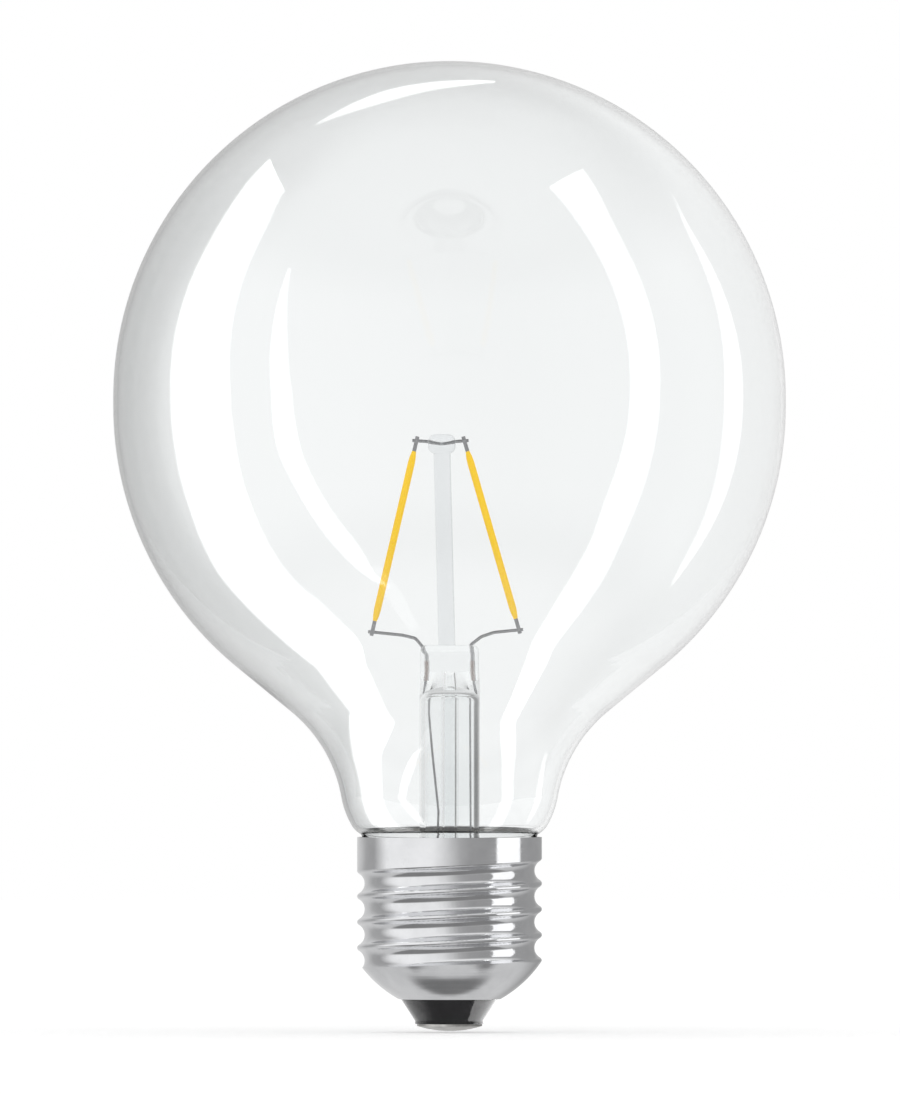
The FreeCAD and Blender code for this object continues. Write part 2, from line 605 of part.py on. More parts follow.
def inner_lead(crossing, route, side):
    """Bent wire from a lower tab into the pinch, down to the seal wire."""
    seal_x = side * SEAL_WIRE_X
    points = [beyond(crossing, side)]
    points += [over_pinch(x, rise, WIRE_Y) for x, rise in route]
    points += [at(seal_x, SEAL_WIRE_TOP_HEIGHT + LEAD_BEND, WIRE_Y),
               at(seal_x, SEAL_WIRE_TOP_HEIGHT, WIRE_Y)]
    return bent_wire(points, LEAD_DIAMETER, LEAD_BEND)


def bridge_wire():
    """Wire through the button, with an upper tab welded near each end."""
    x, z = BUTTON_CENTRE
    half = BUTTON_WIDTH / 2
    points = [beyond(LEFT_TOP_CROSSING, -1), at(x - half, z + BRIDGE_DIP, WIRE_Y),
              at(x, z, WIRE_Y), at(x + half, z + BRIDGE_DIP, WIRE_Y),
              beyond(RIGHT_TOP_CROSSING, 1)]
    return bent_wire(points, LEAD_DIAMETER, LEAD_BEND)


def seal_wire(side):
    return Part.makeCylinder(SEAL_WIRE_DIAMETER / 2, SEAL_WIRE_LENGTH,
                             at(side * SEAL_WIRE_X, SEAL_WIRE_FOOT_HEIGHT, WIRE_Y))


def outer_lead(side, route, hole_x):
    """Thin wire from the pinch down the stem and through a hole in the board."""
    seal_x = side * SEAL_WIRE_X
    hole_z = BOARD_TOP - LEAD_HOLE_BELOW_EDGE
    points = [at(seal_x, SEAL_WIRE_FOOT_HEIGHT, WIRE_Y),
              at(seal_x, SEAL_WIRE_FOOT_HEIGHT - OUTER_LEAD_STRAIGHT, WIRE_Y)]
    points += [at(*p) for p in route]
    points += [at(hole_x, hole_z, BOARD_FRONT_Y - OUTER_LEAD_HOLE_FRONT),
               at(hole_x, hole_z, BOARD_BACK_Y)]
    return bent_wire(points, OUTER_LEAD_DIAMETER, OUTER_LEAD_BEND)


def driver_board():
    return Part.makeBox(BOARD_WIDTH, BOARD_THICKNESS, BOARD_TALL,
                        at(-BOARD_WIDTH / 2, INSULATOR_TOP_HEIGHT, BOARD_FRONT_Y))


def packaged_chip(size, centre_x, legs_a_side):
    """Moulded body lying on the board's front, with bent legs above and below."""
    wide, deep, tall = size
    low_z = INSULATOR_TOP_HEIGHT + (BOARD_TALL - tall) / 2
    front_y = BOARD_FRONT_Y - LEG_THICKNESS / 2 - deep
    body = Part.makeBox(wide, deep, tall, at(centre_x - wide / 2, low_z, front_y))
    long_edges = [e for e in body.Edges if e.BoundBox.YLength < ON_PLANE
                  and e.BoundBox.YMax < front_y + ON_PLANE]
    body = body.makeChamfer(deep * CHIP_CHAMFER_SHARE, long_edges)
    step = wide / (legs_a_side + 2 * LEG_END_MARGIN)
    middle_y = front_y + deep / 2
    for i in range(legs_a_side):
        x = centre_x + (i - (legs_a_side - 1) / 2) * step - LEG_WIDTH / 2
        for edge_z, way in ((low_z, -1), (low_z + tall, 1)):
            out = edge_z + way * LEG_SHOULDER
            foot = edge_z + way * LEG_REACH
            outline = [(edge_z, middle_y), (out, middle_y), (out, BOARD_FRONT_Y - LEG_THICKNESS),
                       (foot, BOARD_FRONT_Y - LEG_THICKNESS), (foot, BOARD_FRONT_Y),
                       (out - way * LEG_THICKNESS, BOARD_FRONT_Y),
                       (out - way * LEG_THICKNESS, middle_y + LEG_THICKNESS),
                       (edge_z, middle_y + LEG_THICKNESS), (edge_z, middle_y)]
            leg = Part.Face(Part.makePolygon([at(x, z, y) for z, y in outline]))
            body = body.fuse(leg.extrude(FreeCAD.Vector(LEG_WIDTH, 0, 0)))
    return body.removeSplitter()


def smoothing_capacitor():
    """Round can lying along X on the board's back, with its crimped groove."""
    radius = CAPACITOR_DIAMETER / 2
    length = CAPACITOR_LENGTH
    groove_at = length * CAPACITOR_GROOVE_PLACE
    outline = chain([(0.0, 0.0), (radius - CAPACITOR_EDGE, 0.0), (radius, CAPACITOR_EDGE),
                     (radius, groove_at - CAPACITOR_GROOVE)])
    outline.append(arc((radius, groove_at - CAPACITOR_GROOVE),
                       (radius - CAPACITOR_GROOVE, groove_at),
                       (radius, groove_at + CAPACITOR_GROOVE)))
    outline += chain([(radius, groove_at + CAPACITOR_GROOVE), (radius, length),
                      (0.0, length), (0.0, 0.0)])
    can = revolve(outline)
    middle_z = INSULATOR_TOP_HEIGHT + BOARD_TALL / 2
    middle_y = BOARD_BACK_Y + radius
    can.rotate(AXIS_POINT, FreeCAD.Vector(0, 1, 0), 90)
    can.translate(at(-length / 2, middle_z, middle_y))
    end_x = length / 2
    for side in (-1, 1):
        z = middle_z + side * CAPACITOR_WIRE_SPACING / 2
        wire = bent_wire([at(end_x, z, middle_y), at(end_x + CAPACITOR_WIRE_REACH, z, middle_y),
                          at(end_x + CAPACITOR_WIRE_REACH, z, BOARD_BACK_Y)],
                         RESISTOR_WIRE_DIAMETER, RESISTOR_WIRE_DIAMETER)
        can = can.fuse(wire)
    return can.removeSplitter()


def fuse_resistor():
    """Upright resistor between the contact's socket and the board."""
    radius = RESISTOR_DIAMETER / 2
    body_y = BOARD_FRONT_Y - radius
    low = INSULATOR_TOP_HEIGHT + RESISTOR_RISE
    top = low + RESISTOR_LENGTH
    wire = RESISTOR_WIRE_DIAMETER
    body = Part.makeCylinder(radius, RESISTOR_LENGTH, at(RESISTOR_X, low, body_y))
    ends = [e for e in body.Edges if e.BoundBox.ZLength < ON_PLANE]
    body = body.makeFillet(RESISTOR_ROUNDING, ends)
    lower = bent_wire([at(0.0, RIVET_TOP - CONTACT_SOCKET_DEPTH),
                       at(0.0, RIVET_TOP + CONTACT_WIRE_RUN),
                       at(RESISTOR_X, low - RESISTOR_LOW_RUN, body_y),
                       at(RESISTOR_X, low, body_y)], wire, wire)
    upper = bent_wire([at(RESISTOR_X, top, body_y),
                       at(RESISTOR_X, top + RESISTOR_HIGH_RUN, body_y),
                       at(RESISTOR_X, top + RESISTOR_HIGH_RUN, BOARD_BACK_Y)], wire, wire)
    return body.fuse(lower).fuse(upper).removeSplitter()


def shell_lead(inside):
    """Wire from the board out to a crest's inside on the right."""
    crest_z = FIRST_VALLEY_HEIGHT + PITCH
    front_y = BOARD_FRONT_Y - SHELL_LEAD_FRONT
    wire = bent_wire([at(SHELL_LEAD_X, crest_z, BOARD_BACK_Y), at(SHELL_LEAD_X, crest_z, front_y),
                      at(CAP_RADIUS, crest_z, front_y)], SHELL_LEAD_DIAMETER, SHELL_LEAD_BEND)
    return wire.common(inside)


def build():
    """All pieces by name, each cut where another passes through it."""
    inside = cap_inside()
    parts = {
        "glass_envelope": glass_envelope(),
        "stem_tube": stem_tube(),
        "exhaust_tube": exhaust_tube(),
        "filament_left": filament(LEFT_TOP_CROSSING, LEFT_LOW_CROSSING),
        "filament_right": filament(RIGHT_TOP_CROSSING, RIGHT_LOW_CROSSING),
        "upper_tab_left": tab(LEFT_TOP_CROSSING, LEFT_LOW_CROSSING, True),
        "upper_tab_right": tab(RIGHT_TOP_CROSSING, RIGHT_LOW_CROSSING, True),
        "lower_tab_left": tab(LEFT_TOP_CROSSING, LEFT_LOW_CROSSING, False),
        "lower_tab_right": tab(RIGHT_TOP_CROSSING, RIGHT_LOW_CROSSING, False),
        "bridge_wire": bridge_wire(),
        "inner_lead_left": inner_lead(LEFT_LOW_CROSSING, LEFT_LEAD_ROUTE, -1),
        "inner_lead_right": inner_lead(RIGHT_LOW_CROSSING, RIGHT_LEAD_ROUTE, 1),
        "seal_wire_left": seal_wire(-1),
        "seal_wire_right": seal_wire(1),
        "outer_lead_left": outer_lead(-1, LEFT_OUTER_ROUTE, OUTER_LEAD_HOLES_X[0]),
        "outer_lead_right": outer_lead(1, RIGHT_OUTER_ROUTE, OUTER_LEAD_HOLES_X[1]),
        "screw_shell": screw_shell(inside),
        "base_insulator": base_insulator(),
        "center_contact": center_contact(),
        "basing_cement": basing_cement(),
        "driver_board": driver_board(),
        "bridge_rectifier": packaged_chip(RECTIFIER_SIZE, RECTIFIER_X, RECTIFIER_LEG_COUNT),
        "driver_chip": packaged_chip(CHIP_SIZE, CHIP_X, CHIP_LEG_COUNT),
        "smoothing_capacitor": smoothing_capacitor(),
        "fuse_resistor": fuse_resistor(),
        "shell_lead": shell_lead(inside),
    }
    parts["stem_post"] = stem_post(pinch())
    passages = {
        "bridge_wire": ["upper_tab_left", "upper_tab_right"],
        "inner_lead_left": ["lower_tab_left"],
        "inner_lead_right": ["lower_tab_right"],
        "stem_post": ["bridge_wire"],
        "stem_tube": ["inner_lead_left", "inner_lead_right", "seal_wire_left",
                      "seal_wire_right", "outer_lead_left", "outer_lead_right"],
        "driver_board": ["outer_lead_left", "outer_lead_right", "fuse_resistor", "shell_lead"],
    }
    for name, through in passages.items():
        for other in through:
            parts[name] = parts[name].cut(parts[other])
    return parts


os.makedirs("parts", exist_ok=True)
for part_name, part_shape in build().items():
    part_shape.exportStep(f"parts/{part_name}.step")
    print(part_name, part_shape.isValid(), len(part_shape.Solids), round(part_shape.Volume, 2))
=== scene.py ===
import json
import math

import bpy
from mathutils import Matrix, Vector


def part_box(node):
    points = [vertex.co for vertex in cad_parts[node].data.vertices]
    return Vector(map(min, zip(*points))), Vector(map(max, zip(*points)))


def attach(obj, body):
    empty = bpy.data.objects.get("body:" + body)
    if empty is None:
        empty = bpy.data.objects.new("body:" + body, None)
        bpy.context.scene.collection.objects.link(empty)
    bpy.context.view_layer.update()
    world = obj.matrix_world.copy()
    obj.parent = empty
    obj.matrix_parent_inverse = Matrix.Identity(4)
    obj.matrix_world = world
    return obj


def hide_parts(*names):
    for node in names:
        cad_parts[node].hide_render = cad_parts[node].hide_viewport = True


# The clear globe lamp on its screw cap, dressed and lit as in the photograph.
# Lengths are metres in the part's own frame: Z up the lamp's axis, the viewer on the -Y side.

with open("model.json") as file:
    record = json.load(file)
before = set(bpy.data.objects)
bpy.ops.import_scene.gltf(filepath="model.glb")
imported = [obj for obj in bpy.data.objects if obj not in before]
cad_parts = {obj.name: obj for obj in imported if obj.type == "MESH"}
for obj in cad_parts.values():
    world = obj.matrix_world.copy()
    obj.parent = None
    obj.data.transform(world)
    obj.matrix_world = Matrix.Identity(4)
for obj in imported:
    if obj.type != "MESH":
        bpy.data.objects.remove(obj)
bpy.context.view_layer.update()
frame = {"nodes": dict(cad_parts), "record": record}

# The photograph's frame, and where the lamp stands in it, in pixels
FRAME_WIDTH_PX = 900
FRAME_HEIGHT_PX = 1094
LAMP_TOP_PX = 61
LAMP_BOTTOM_PX = 1031
LAMP_AXIS_PX = 449.5

# Camera
LENS_MM = 1000
SENSOR_MM = 36

# The lamp's length and its globe, as built
LAMP_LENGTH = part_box("glass_envelope")[1].z
GLOBE_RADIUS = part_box("glass_envelope")[1].x
GLOBE_CENTRE = Vector((0, 0, LAMP_LENGTH - GLOBE_RADIUS))

# The blown glass in millimetres, from its seal in the cap up to the top of the globe. Each arc is
# its radius and the heading at its end, in degrees from straight up.
MM = 0.001
GLASS_WALL = 0.65
SEAL_RADIUS = 11.3
SEAL_HEIGHT = 18.2
MOUTH_RADIUS = 12.3
MOUTH_TOP = 27.2
MOUTH_RUN = 0.8
STEP_HEADING = 30.0
NECK_ROOT = (0.8, 58.0)
NECK_CORNER = (3.5, 30.0)
NECK_SHOULDER = (12.0, 10.0)
NECK_CURVE_RADIUS = 20.12
GLOBE_STRAIGHT = 1.3

# How finely it is turned: degrees of arc a step, sides round the axis, steps round the lip
ARC_STEP = 1.5
GLASS_SIDES = 144
LIP_STEPS = 8

WHITE = (1.0, 1.0, 1.0, 1.0)

# Light cards and rooms stand round the globe at these distances and are seen in reflections only
CARD_DISTANCE = 0.8
CARD_STEPS_ALONG = 10
CARD_STEPS_ACROSS = 8
GLOBE_ROOM_RADIUS = 0.84
CAP_ROOM_RADIUS = 0.88
FOOT_ROOM_RADIUS = 0.92
ROOM_STEPS = 48

# A ray is a mirrored one from the first mirror on. What the globe's back wall mirrors crosses four
# faces of glass on its way, and what the front wall mirrors crosses two at most.
MIRRORED_DEPTH = 0.5
BACK_WALL_DEPTH = 2.5

# Which pieces mirror which room
CAP_PIECES = ["screw_shell", "center_contact"]
FOOT_PIECES = ["base_insulator"]
GLOBE_PIECES = [name for name in frame["nodes"] if name not in CAP_PIECES + FOOT_PIECES]

# Only these show in reflections, so that the globe's back wall holds no image of the filaments
MIRRORED_PIECES = ["glass_envelope", "screw_shell"]

# Brightness of the room by degrees round the lamp from the viewer, positive to the right
ROOM_OF_THE_GLOBE = [(-180, 0.72), (-165, 0.6), (-150, 0.48), (-140, 0.25), (-130, 0.08),
                     (-120, 0.14), (-110, 0.7), (-90, 0.92), (-27, 0.82), (7, 0.74), (84, 0.78),
                     (104, 0.9), (120, 0.8), (140, 0.84), (158, 0.98), (180, 0.72)]
ROOM_OF_THE_CAP = [(-180, 0.75), (-145, 0.6), (-128, 0.43), (-108, 0.4), (-86, 0.95), (-70, 1.02),
                   (-20, 0.95), (-7, 0.8), (4, 0.6), (14, 0.44), (26, 0.36), (160, 0.36),
                   (180, 0.6)]
ROOM_OF_THE_FOOT = [(-180, 1.3), (-110, 1.2), (-78, 0.45), (87, 0.45), (89, 3.4), (180, 2.6)]
ROOM_BRIGHTEST = 4.0

# Brightness above and below, and the bands over which a room goes over to it. A band is a pair of
# heights from -1 right below the globe to 1 right above it.
GLOBE_ROOM_ABOVE = 0.38
GLOBE_ROOM_BELOW_FRONT = 1.2
GLOBE_ROOM_BELOW_INSIDE = 0.9
GLOBE_ROOM_LEAST_INSIDE = 0.2
GLOBE_ROOM_TOP_BAND = (0.45, 0.75)
GLOBE_ROOM_LOW_BAND = (-0.7, -0.92)
CAP_ROOM_ABOVE = 1.0
CAP_ROOM_BELOW = 0.64
CAP_ROOM_TOP_BAND = (0.5, 0.85)
CAP_ROOM_LOW_BAND = (-0.35, -0.7)

# The shade low in front of the cap: from side to front, from its lower edge up, and from its upper
# edge down
CAP_SHADE_LEVEL = 0.24
CAP_SHADE_FRONT_BAND = (0.1, -0.1)
CAP_SHADE_LOWER_BAND = (-0.96, -0.89)
CAP_SHADE_UPPER_BAND = (-0.42, -0.6)

# The dark oval that the lamp's foot leaves in what the cap's shoulder mirrors. Its fade is a pair
# of squared distances from its middle, counted in its half sizes.
FOOT_SPOT_HALF_WIDTH = 0.38
FOOT_SPOT_HALF_DEPTH = 0.2
FOOT_SPOT_MIDDLE = 0.16
FOOT_SPOT_LEVEL = 0.3
FOOT_SPOT_FADE = (0.4, 1.7)
FOOT_SPOT_LOW_BAND = (-0.5, -0.7)

# Brightness of the world on surfaces that scatter light
DIFFUSE_WORLD = 0.85

# Strips of light: brightness, the pieces that mirror them, and the two edges from top to bottom.
# A corner of an edge is given as degrees round the lamp from the viewer and as a height from -1
# right below the globe to 1 right above it.
LIGHT_CARDS = {
    "left_wide": (2.6, GLOBE_PIECES, (
        [(-136, 0.68), (-117, 0.49), (-109, 0.0), (-110, -0.3), (-114, -0.45), (-118, -0.55),
         (-121, -0.65), (-128, -0.74), (-141, -0.79)],
        [(-107, 0.77), (-91, 0.62), (-79, 0.0), (-79, -0.4), (-81, -0.6), (-83, -0.73),
         (-84, -0.85), (-102, -0.93), (-137, -0.91)])),
    "left_thin": (2.6, GLOBE_PIECES, (
        [(-69, 0.6), (-65, 0.32), (-62, 0.0), (-61, -0.22), (-57, -0.44), (-52, -0.68), (-45, -0.83),
         (-36, -0.88)],
        [(-68, 0.6), (-59, 0.32), (-54, 0.0), (-52, -0.23), (-48, -0.46), (-41, -0.7), (-40, -0.83),
         (-36, -0.88)])),
    "left_thin_tail": (0.5, GLOBE_PIECES, (
        [(-41, -0.8), (-40, -0.85), (-43, -0.91), (-56, -0.98)],
        [(-36, -0.8), (-33, -0.86), (-32, -0.92), (-41, -0.98)])),
    "right_wide": (2.6, GLOBE_PIECES, (
        [(78, 0.9), (68, 0.71), (63, 0.0), (60, -0.43), (62, -0.65), (65, -0.78), (73, -0.88),
         (98, -0.94), (135, -0.93)],
        [(110, 0.85), (83, 0.66), (75, 0.0), (74, -0.41), (76, -0.61), (81, -0.73), (89, -0.83),
         (109, -0.9), (135, -0.89)])),
    "right_thin": (2.0, GLOBE_PIECES, (
        [(133, 0.57), (118, 0.47), (107, 0.0), (112, -0.46), (119, -0.59)],
        [(133, 0.57), (122, 0.47), (118, 0.0), (117, -0.44), (119, -0.59)])),
    "top": (2.0, GLOBE_PIECES, (
        [(-148, 0.73), (-156, 0.73), (-168, 0.71), (-179, 0.69), (173, 0.64)],
        [(-148, 0.73), (-156, 0.79), (-168, 0.8), (178, 0.74), (173, 0.66)])),
    "cap_window": (0.9, ["screw_shell"], (
        [(61, 0.48), (61, 0.0), (61, -0.42)],
        [(99, 0.48), (99, 0.0), (99, -0.42)])),
}

# The floor, just under the lamp
FLOOR_RADIUS = 1.6
FLOOR_DROP = 0.0002
FLOOR_SIDES = 128
FLOOR_GRAIN = 60.0
FLOOR_DARK = (0.76, 0.76, 0.76, 1.0)
FLOOR_PALE = (0.8, 0.8, 0.8, 1.0)
FLOOR_GLOW = 0.4

# Noise in the materials, and the two levels of it between which one tone goes over to the other
NOISE_DETAIL = 3.0
TONE_BAND = (0.35, 0.65)


def link(tree, output, target):
    tree.links.new(output, target)


def node(tree, kind, **values):
    """A shader node with some of its inputs or properties set by name."""
    made = tree.nodes.new(kind)
    for name, value in values.items():
        if name in made.inputs:
            made.inputs[name].default_value = value
        else:
            setattr(made, name, value)
    return made


def feed(tree, target, source):
    """Sets an input to a number or links it to an output."""
    if isinstance(source, bpy.types.NodeSocket):
        tree.links.new(source, target)
    else:
        target.default_value = source


def math_node(tree, operation, first, second=0.0):
    made = node(tree, "ShaderNodeMath", operation=operation)
    feed(tree, made.inputs[0], first)
    feed(tree, made.inputs[1], second)
    return made.outputs[0]


def ramp(tree, value, band, low=0.0, high=1.0, kind="SMOOTHSTEP"):
    """Goes smoothly from low to high while value goes from the band's start to its end."""
    made = node(tree, "ShaderNodeMapRange", interpolation_type=kind)
    feed(tree, made.inputs["Value"], value)
    made.inputs["From Min"].default_value = band[0]
    made.inputs["From Max"].default_value = band[1]
    feed(tree, made.inputs["To Min"], low)
    feed(tree, made.inputs["To Max"], high)
    return made.outputs["Result"]


def blend(tree, share, none, full):
    """One level where share is 0 and another where it is 1."""
    return ramp(tree, share, (0.0, 1.0), none, full)


def square(tree, value):
    return math_node(tree, "MULTIPLY", value, value)


def reflected(tree):
    """1 on a ray that something has mirrored, 0 on one that came straight or through glass."""
    path = node(tree, "ShaderNodeLightPath")
    return math_node(tree, "GREATER_THAN", path.outputs["Glossy Depth"], MIRRORED_DEPTH)


def straight(tree):
    """1 on a ray from the camera that has met nothing, a mirror or glass."""
    path = node(tree, "ShaderNodeLightPath")
    seen = math_node(tree, "ADD", path.outputs["Is Camera Ray"], path.outputs["Is Glossy Ray"])
    return math_node(tree, "ADD", seen, path.outputs["Is Transmission Ray"])


def white_glow(tree):
    return node(tree, "ShaderNodeEmission", Color=WHITE)


def added(tree, first, second):
    """The light of two shaders together."""
    both = node(tree, "ShaderNodeAddShader")
    link(tree, first.outputs[0], both.inputs[0])
    link(tree, second.outputs[0], both.inputs[1])
    return both.outputs[0]


def bare_material(name):
    """A material and its empty tree."""
    material = bpy.data.materials.new(name)
    material.use_nodes = True
    material.node_tree.nodes.clear()
    return material, material.node_tree


def show_surface(tree, shader):
    output = node(tree, "ShaderNodeOutputMaterial")
    link(tree, shader, output.inputs["Surface"])


def new_thing(name, points, faces):
    """An object in the scene with a mesh of those faces."""
    mesh = bpy.data.meshes.new(name)
    mesh.from_pydata(points, [], faces)
    thing = bpy.data.objects.new(name, mesh)
    bpy.context.scene.collection.objects.link(thing)
    return thing


# The blown glass


def right_of(heading):
    """The side that faces out of the glass where its outline runs along that heading."""
    return Vector((math.cos(math.radians(heading)), -math.sin(math.radians(heading))))


def walk(steps, inset):
    """Points and outward sides along runs and arcs from the seal, moved inwards by the inset."""
    heading = 0.0
    side = right_of(heading)
    place = Vector((SEAL_RADIUS - inset, SEAL_HEIGHT))
    outline = [(place, side)]
    for step in steps:
        if len(step) == 1:
            place = place + step[0] * Vector((-side.y, side.x))
            outline.append((place, side))
            continue
        radius, end = step
        turn = 1 if end > heading else -1
        reach = turn * (radius + turn * inset)
        centre = place + reach * side
        count = math.ceil(abs(end - heading) / ARC_STEP)
        for i in range(1, count + 1):
            side = right_of(heading + (end - heading) * i / count)
            outline.append((centre - reach * side, side))
        heading = end
        place = outline[-1][0]
    return outline


def glass_steps():
    """Runs and arcs of the glass. It steps out from the seal to the mouth by two equal arcs, and the
    last hollow curve meets the globe in a straight run that touches both."""
    globe_radius = GLOBE_RADIUS / MM
    lower_centre = LAMP_LENGTH / MM - GLOBE_STRAIGHT - globe_radius
    half_step = (MOUTH_RADIUS - SEAL_RADIUS) / 2
    step_radius = half_step / (1 - math.cos(math.radians(STEP_HEADING)))
    step_tall = 2 * step_radius * math.sin(math.radians(STEP_HEADING))
    steps = [
        (MOUTH_TOP - MOUTH_RUN - step_tall - SEAL_HEIGHT,),
        (step_radius, STEP_HEADING),
        (step_radius, 0.0),
        (MOUTH_RUN,),
        NECK_ROOT,
        NECK_CORNER,
        NECK_SHOULDER,
    ]
    place, side = walk(steps, 0.0)[-1]
    to_globe = Vector((0.0, lower_centre)) - place - NECK_CURVE_RADIUS * side
    reach = globe_radius + NECK_CURVE_RADIUS
    bearing = math.atan2(to_globe.y, to_globe.x) + math.acos(reach / to_globe.length)
    return steps + [
        (NECK_CURVE_RADIUS, 180 - math.degrees(bearing)),
        (math.sqrt(to_globe.length**2 - reach**2),),
        (globe_radius, 0.0),
        (GLOBE_STRAIGHT,),
        (globe_radius, -90.0),
    ]


def blown_glass():
    """The globe and its neck, turned from one outline that runs down the outside and up inside."""
    steps = glass_steps()
    outline = list(reversed(walk(steps, 0.0)))
    lip_centre = Vector((SEAL_RADIUS - GLASS_WALL / 2, SEAL_HEIGHT))
    for i in range(1, LIP_STEPS):
        side = right_of(180 * i / LIP_STEPS)
        outline.append((lip_centre + GLASS_WALL / 2 * side, side))
    outline += [(place, -side) for place, side in walk(steps, GLASS_WALL)]

    turns = [2 * math.pi * j / GLASS_SIDES for j in range(GLASS_SIDES)]
    top, top_side = outline[0]
    points, normals = [(0.0, 0.0, top.y * MM)], [(0.0, 0.0, top_side.y)]
    for place, side in outline[1:-1]:
        points += [(place.x * MM * math.cos(t), place.x * MM * math.sin(t), place.y * MM)
                   for t in turns]
        normals += [(side.x * math.cos(t), side.x * math.sin(t), side.y) for t in turns]
    under, under_side = outline[-1]
    points.append((0.0, 0.0, under.y * MM))
    normals.append((0.0, 0.0, under_side.y))

    faces = []
    for j in range(GLASS_SIDES):
        beside = (j + 1) % GLASS_SIDES
        faces.append((0, 1 + j, 1 + beside))
        for first in range(1, len(points) - 1 - GLASS_SIDES, GLASS_SIDES):
            second = first + GLASS_SIDES
            faces.append((first + j, second + j, second + beside, first + beside))
        last = len(points) - 1 - GLASS_SIDES
        faces.append((last + j, len(points) - 1, last + beside))
    glass = new_thing("blown_globe", points, faces)
    glass.data.shade_smooth()
    glass.data.normals_split_custom_set_from_vertices(normals)
    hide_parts("glass_envelope")
    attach(glass, "root")
    return glass


# World


def studio_world():
    """White behind the lamp and pale from all round, but dark where something mirrors it."""
    world = bpy.data.worlds.new("studio")
    bpy.context.scene.world = world
    world.use_nodes = True
    tree = world.node_tree
    tree.nodes.clear()
    seen = blend(tree, straight(tree), DIFFUSE_WORLD, 1.0)
    level = blend(tree, reflected(tree), seen, 0.0)
    background = node(tree, "ShaderNodeBackground", Color=WHITE)
    link(tree, level, background.inputs["Strength"])
    output = node(tree, "ShaderNodeOutputWorld")
    link(tree, background.outputs[0], output.inputs["Surface"])


# Rooms and light cards


def only_seen_in(thing, pieces):
    """Stages a light that only those pieces mirror."""
    thing.visible_camera = False
    thing.visible_diffuse = False
    thing.visible_shadow = False
    group = bpy.data.collections.new(thing.name + "_seen_in")
    for name in pieces:
        group.objects.link(shown[name])
    thing.light_linking.receiver_collection = group


def glow_material(name):
    """A see-through material that adds light to reflections, its tree and the strength's socket."""
    material, tree = bare_material(name)
    material.cycles.emission_sampling = "NONE"
    glow = white_glow(tree)
    show_surface(tree, added(tree, node(tree, "ShaderNodeBsdfTransparent"), glow))
    return material, tree, glow.inputs["Strength"]


def direction(tree):
    """X, Y and Z of the direction in which a point of a room lies."""
    place = node(tree, "ShaderNodeTexCoord")
    unit = node(tree, "ShaderNodeVectorMath", operation="NORMALIZE")
    axes = node(tree, "ShaderNodeSeparateXYZ")
    link(tree, place.outputs["Object"], unit.inputs[0])
    link(tree, unit.outputs[0], axes.inputs[0])
    return axes.outputs


def by_turn(tree, x, y, stops):
    """Brightness by the direction's turn round the lamp. A new ramp has its first two stops."""
    turn = math_node(tree, "ARCTAN2", x, math_node(tree, "MULTIPLY", y, -1.0))
    share = ramp(tree, turn, (-math.pi, math.pi), kind="LINEAR")
    levels = node(tree, "ShaderNodeValToRGB")
    elements = levels.color_ramp.elements
    for i, (degrees, level) in enumerate(stops):
        element = elements[i] if i < 2 else elements.new(1.0)
        element.position = (degrees + 180) / 360
        element.color = (*[level / ROOM_BRIGHTEST] * 3, 1)
    link(tree, share, levels.inputs[0])
    return math_node(tree, "MULTIPLY", levels.outputs[0], ROOM_BRIGHTEST)


def room(name, pieces, material, radius):
    """A shell all round the lamp, about the middle of its globe."""
    points, faces = [], []
    for i in range(ROOM_STEPS + 1):
        rise = math.pi * (i / ROOM_STEPS - 0.5)
        for j in range(2 * ROOM_STEPS):
            turn = math.pi * j / ROOM_STEPS
            points.append(radius * Vector((math.cos(rise) * math.sin(turn),
                                           math.cos(rise) * math.cos(turn), math.sin(rise))))
    for i in range(ROOM_STEPS):
        for j in range(2 * ROOM_STEPS):
            beside = (j + 1) % (2 * ROOM_STEPS)
            low, high = i * 2 * ROOM_STEPS, (i + 1) * 2 * ROOM_STEPS
            faces.append((low + j, low + beside, high + beside, high + j))
    shell = new_thing(name, points, faces)
    shell.location = GLOBE_CENTRE
    shell.data.materials.append(material)
    only_seen_in(shell, pieces)


def globe_room():
    """The back wall mirrors each side from the other one, so inside the globe the sides swap."""
    material, tree, strength = glow_material("globe_room")
    x, y, z = direction(tree)
    path = node(tree, "ShaderNodeLightPath")
    inside = math_node(
        tree, "GREATER_THAN", path.outputs["Transmission Depth"], BACK_WALL_DEPTH)
    x = math_node(tree, "MULTIPLY", x, blend(tree, inside, 1.0, -1.0))
    level = by_turn(tree, x, y, ROOM_OF_THE_GLOBE)
    level = ramp(tree, z, GLOBE_ROOM_TOP_BAND, level, GLOBE_ROOM_ABOVE)
    below = blend(tree, inside, GLOBE_ROOM_BELOW_FRONT, GLOBE_ROOM_BELOW_INSIDE)
    level = ramp(tree, z, GLOBE_ROOM_LOW_BAND, level, below)
    least = math_node(tree, "MULTIPLY", inside, GLOBE_ROOM_LEAST_INSIDE)
    level = math_node(tree, "MAXIMUM", level, least)
    link(tree, math_node(tree, "MULTIPLY", level, reflected(tree)), strength)
    room("globe_room", GLOBE_PIECES, material, GLOBE_ROOM_RADIUS)


def front_shade(tree, y, z):
    """1 in the band of shade low in front of the cap."""
    shade = math_node(tree, "MULTIPLY", ramp(tree, y, CAP_SHADE_FRONT_BAND),
                      ramp(tree, z, CAP_SHADE_LOWER_BAND))
    return math_node(tree, "MULTIPLY", shade, ramp(tree, z, CAP_SHADE_UPPER_BAND))


